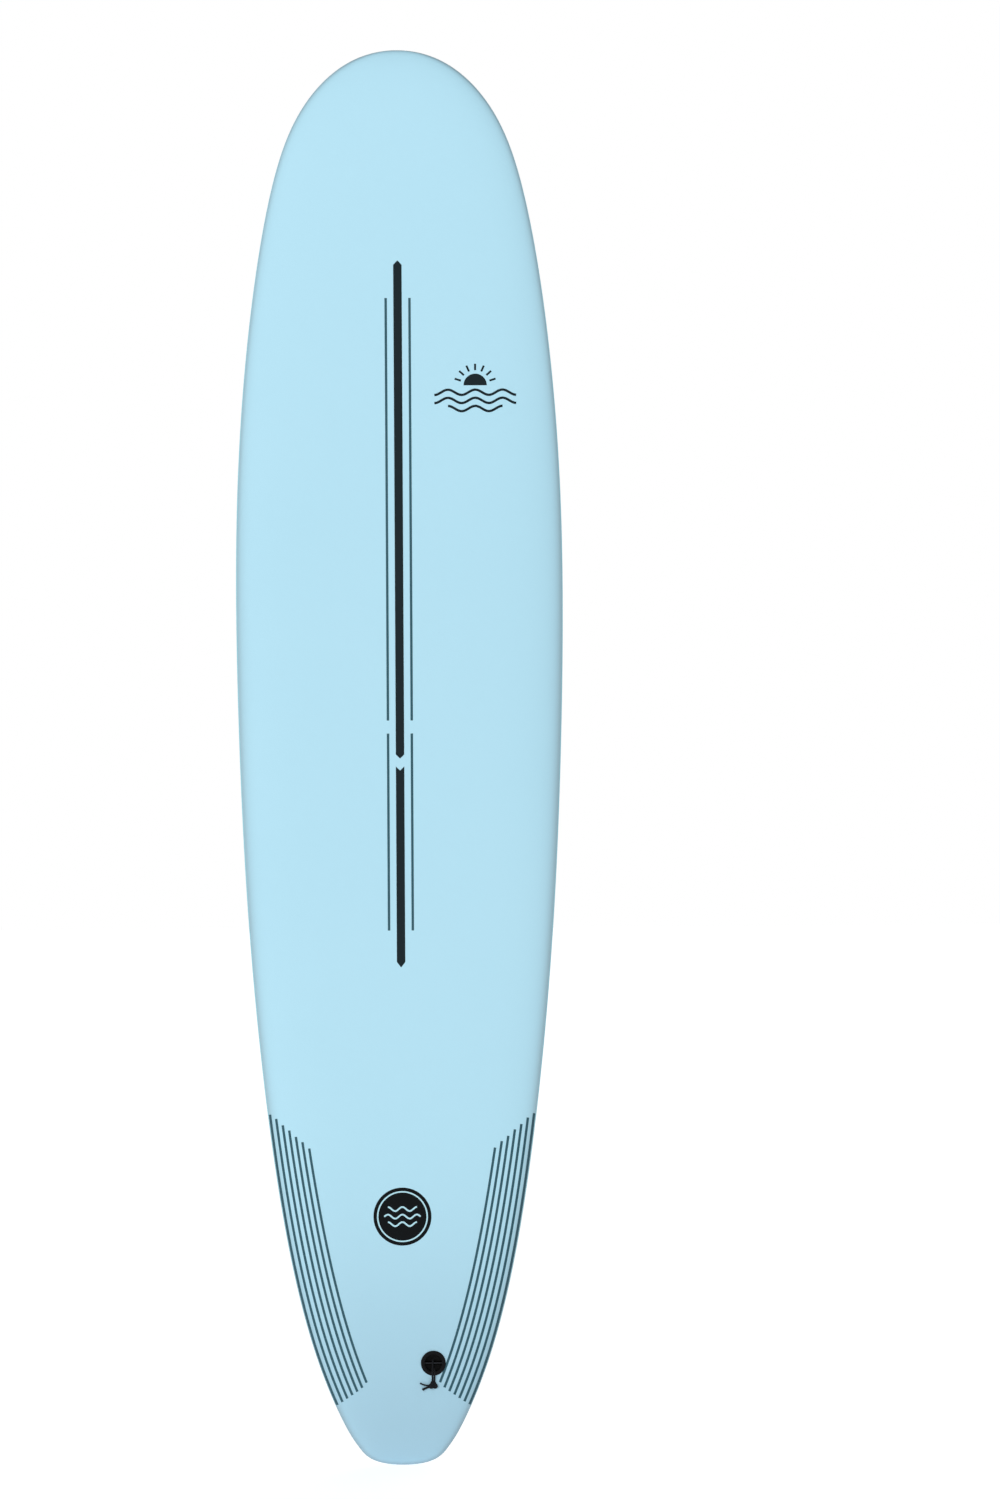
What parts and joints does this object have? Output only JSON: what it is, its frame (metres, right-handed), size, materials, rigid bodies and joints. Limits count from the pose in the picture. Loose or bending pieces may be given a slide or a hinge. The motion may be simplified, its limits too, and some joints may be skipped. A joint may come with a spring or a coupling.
{
  "type": "longboard surfboard",
  "caption": "Soft-top longboard surfboard with round nose and squash tail: sky-blue foam deck, white slick bottom, twin-tab fins held by grub screws, and a leash plug with its string.",
  "frame": {"origin": "middle of the bounding box in X and Y, at the lowest point of the tail, with the board upright on its tail", "axes": "+Z along the board from tail to nose, -Y out of the deck (the bottom and fins face +Y), +X to the rider's right"},
  "size_m": [0.5646, 0.2323, 2.438],
  "materials": {
    "deck_foam": "matte",
    "rail_foam": "matte",
    "slick_sheet": "satin",
    "bead_foam": "matte",
    "stringer_ply": "matte",
    "box_plastic": "satin",
    "fin_rubber": "matte",
    "screw_steel": "satin",
    "plug_plastic": "satin",
    "bar_steel": "polished",
    "string_cord": "matte"
  },
  "bodies": {
    "board": {"deck_skin": "deck_foam", "tail_skin_left": "deck_foam", "tail_skin_right": "deck_foam", "rail_skin": "rail_foam", "slick_bottom": "slick_sheet", "stringer_left": "stringer_ply", "stringer_centre": "stringer_ply", "stringer_right": "stringer_ply", "core_left_outer": "bead_foam", "core_left_inner": "bead_foam", "core_right_inner": "bead_foam", "core_right_outer": "bead_foam", "leash_plug": "plug_plastic", "leash_bar": "bar_steel", "leash_string": "string_cord", "leash_knot": "string_cord", "fin_box_centre": "box_plastic", "fin_box_left": "box_plastic", "fin_box_right": "box_plastic"},
    "fin_centre": {"fin_centre": "fin_rubber"},
    "fin_left": {"fin_left": "fin_rubber"},
    "fin_right": {"fin_right": "fin_rubber"},
    "fin_screw_centre_front": {"fin_screw_centre_front": "screw_steel"},
    "fin_screw_centre_rear": {"fin_screw_centre_rear": "screw_steel"},
    "fin_screw_left_front": {"fin_screw_left_front": "screw_steel"},
    "fin_screw_left_rear": {"fin_screw_left_rear": "screw_steel"},
    "fin_screw_right_front": {"fin_screw_right_front": "screw_steel"},
    "fin_screw_right_rear": {"fin_screw_right_rear": "screw_steel"}
  },
  "joints": [
    {"name": "fin_centre_slide", "type": "slide", "parent": "board", "child": "fin_centre", "axis": [0, 0.9974, -0.0716], "range_m": [0, 0.018]},
    {"name": "fin_left_slide", "type": "slide", "parent": "board", "child": "fin_left", "axis": [-0.0697, 0.9963, -0.0502], "range_m": [0, 0.018]},
    {"name": "fin_right_slide", "type": "slide", "parent": "board", "child": "fin_right", "axis": [0.0697, 0.9963, -0.0502], "range_m": [0, 0.018]},
    {"name": "fin_screw_centre_front_turn", "type": "hinge", "parent": "board", "child": "fin_screw_centre_front", "pos_m": [0.00558, -0.01454, 0.2646], "axis": [0.4226, 0.904, -0.0649], "continuous": true},
    {"name": "fin_screw_centre_rear_turn", "type": "hinge", "parent": "board", "child": "fin_screw_centre_rear", "pos_m": [0.00558, -0.01854, 0.20874], "axis": [0.4226, 0.904, -0.0649], "continuous": true},
    {"name": "fin_screw_left_front_turn", "type": "hinge", "parent": "board", "child": "fin_screw_left_front", "pos_m": [-0.1508, -0.00225, 0.46622], "axis": [0.3582, 0.9317, -0.0603], "continuous": true},
    {"name": "fin_screw_left_rear_turn", "type": "hinge", "parent": "board", "child": "fin_screw_left_rear", "pos_m": [-0.15257, -0.00519, 0.41033], "axis": [0.3582, 0.9317, -0.0603], "continuous": true},
    {"name": "fin_screw_right_front_turn", "type": "hinge", "parent": "board", "child": "fin_screw_right_front", "pos_m": [0.16192, -0.00301, 0.46661], "axis": [0.4846, 0.8742, -0.0307], "continuous": true},
    {"name": "fin_screw_right_rear_turn", "type": "hinge", "parent": "board", "child": "fin_screw_right_rear", "pos_m": [0.16368, -0.00594, 0.41072], "axis": [0.4846, 0.8742, -0.0307], "continuous": true}
  ]
}
